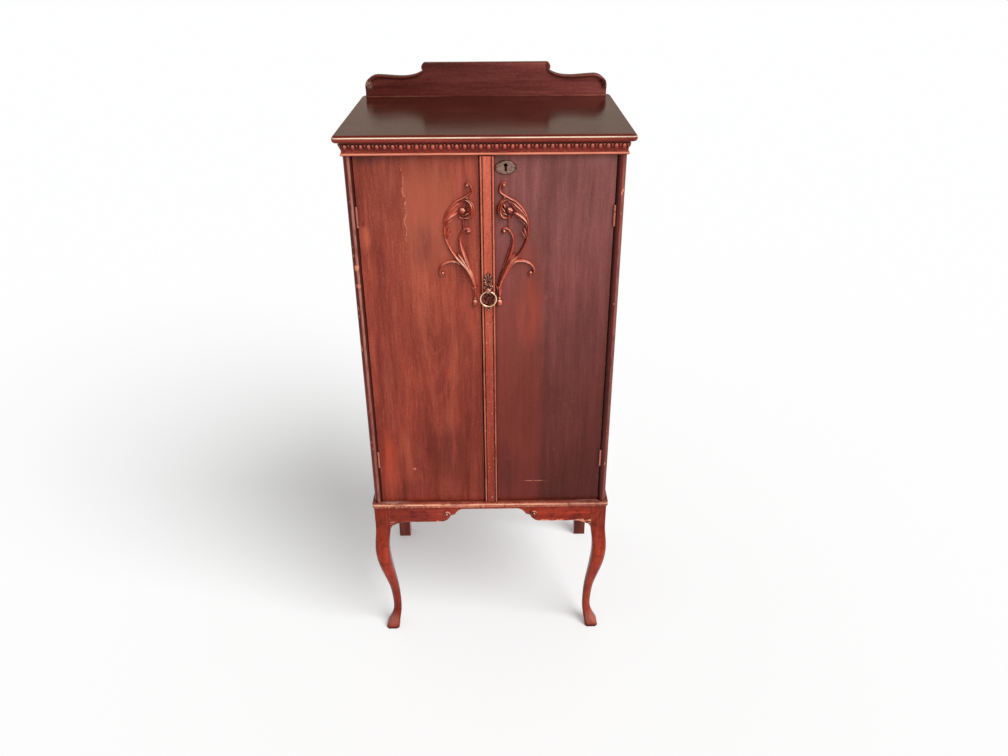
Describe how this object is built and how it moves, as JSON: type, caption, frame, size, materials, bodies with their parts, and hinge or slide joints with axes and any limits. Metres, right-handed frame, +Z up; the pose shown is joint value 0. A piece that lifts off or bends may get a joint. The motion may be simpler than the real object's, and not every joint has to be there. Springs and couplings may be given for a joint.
{
  "type": "sheet music cabinet",
  "caption": "Two-door mahogany sheet music cabinet with cabriole front legs, carved scrolls on the doors, an egg-and-dart frieze, a shaped gallery and a ring pull",
  "frame": {"origin": "on the floor under the middle of the top board", "axes": "+Z up, the doors face -Y, +X is to the viewer's right when facing the doors"},
  "size_m": [0.508, 0.378, 1.17],
  "materials": {
    "mahogany": "red mahogany stain under worn gloss varnish",
    "door_veneer": "vertical mahogany veneer, red stain, gloss varnish",
    "carved_mahogany": "carved mahogany, varnished, rubbed bright on the high places",
    "plain_wood": "plain unstained inner wood",
    "hinge_metal": "brass darkened by old stain",
    "steel": "plain steel",
    "aged_brass": "cast brass gone brown",
    "bright_brass": "brass rubbed bright by hands"
  },
  "bodies": {
    "case": {"top_board": "mahogany", "gallery": "mahogany", "frieze_front": "mahogany", "frieze_left": "mahogany", "frieze_right": "mahogany", "frieze_back": "mahogany", "side_left": "mahogany", "side_right": "mahogany", "base_board": "mahogany", "door_stop": "mahogany", "leg_front_left": "mahogany", "leg_front_right": "mahogany", "leg_rear_left": "mahogany", "leg_rear_right": "mahogany", "apron_front": "mahogany", "apron_left": "mahogany", "apron_right": "mahogany", "apron_back": "mahogany", "shelf_1": "plain_wood", "shelf_2": "plain_wood", "shelf_3": "plain_wood", "shelf_4": "plain_wood", "shelf_5": "plain_wood", "shelf_6": "plain_wood", "back_panel": "plain_wood", "corner_blocks": "plain_wood", "gallery_dowels": "plain_wood", "hinge_case_leaves": "hinge_metal", "hinge_pins": "hinge_metal", "hinge_screws_case": "steel", "lock_strike": "steel", "left_bolt_keeper": "steel"},
    "door_left": {"door_left": "door_veneer", "applique_left": "carved_mahogany", "hinge_leaves_left": "hinge_metal", "hinge_screws_left": "steel", "left_bolt_plate": "steel", "left_bolt_screws": "steel"},
    "door_right": {"door_right": "door_veneer", "astragal": "carved_mahogany", "applique_right": "carved_mahogany", "hinge_leaves_right": "hinge_metal", "hinge_screws_right": "steel", "escutcheon": "aged_brass", "escutcheon_pins": "aged_brass", "lock_case": "steel", "lock_screws": "steel", "pull_backplate": "aged_brass", "pull_stud": "bright_brass", "pull_nut": "steel"},
    "lock_bolt": {"lock_bolt": "steel"},
    "left_bolt": {"left_bolt": "steel"},
    "pull_ring": {"pull_ring": "bright_brass"}
  },
  "joints": [
    {"name": "door_left_hinge", "type": "hinge", "parent": "case", "child": "door_left", "pos_m": [-0.224, -0.1724, 0.71175], "axis": [0, 0, -1], "range_deg": [0, 150]},
    {"name": "door_right_hinge", "type": "hinge", "parent": "case", "child": "door_right", "pos_m": [0.224, -0.1724, 0.71175], "axis": [0, 0, 1], "range_deg": [0, 150]},
    {"name": "lock_bolt_slide", "type": "slide", "parent": "door_right", "child": "lock_bolt", "axis": [0, 0, 1], "range_m": [0, 0.008]},
    {"name": "left_bolt_slide", "type": "slide", "parent": "door_left", "child": "left_bolt", "axis": [0, 0, 1], "range_m": [0, 0.01]},
    {"name": "pull_ring_swing", "type": "hinge", "parent": "door_right", "child": "pull_ring", "pos_m": [0.0025, -0.1826, 0.827], "axis": [-1, 0, 0], "range_deg": [0, 120]}
  ]
}
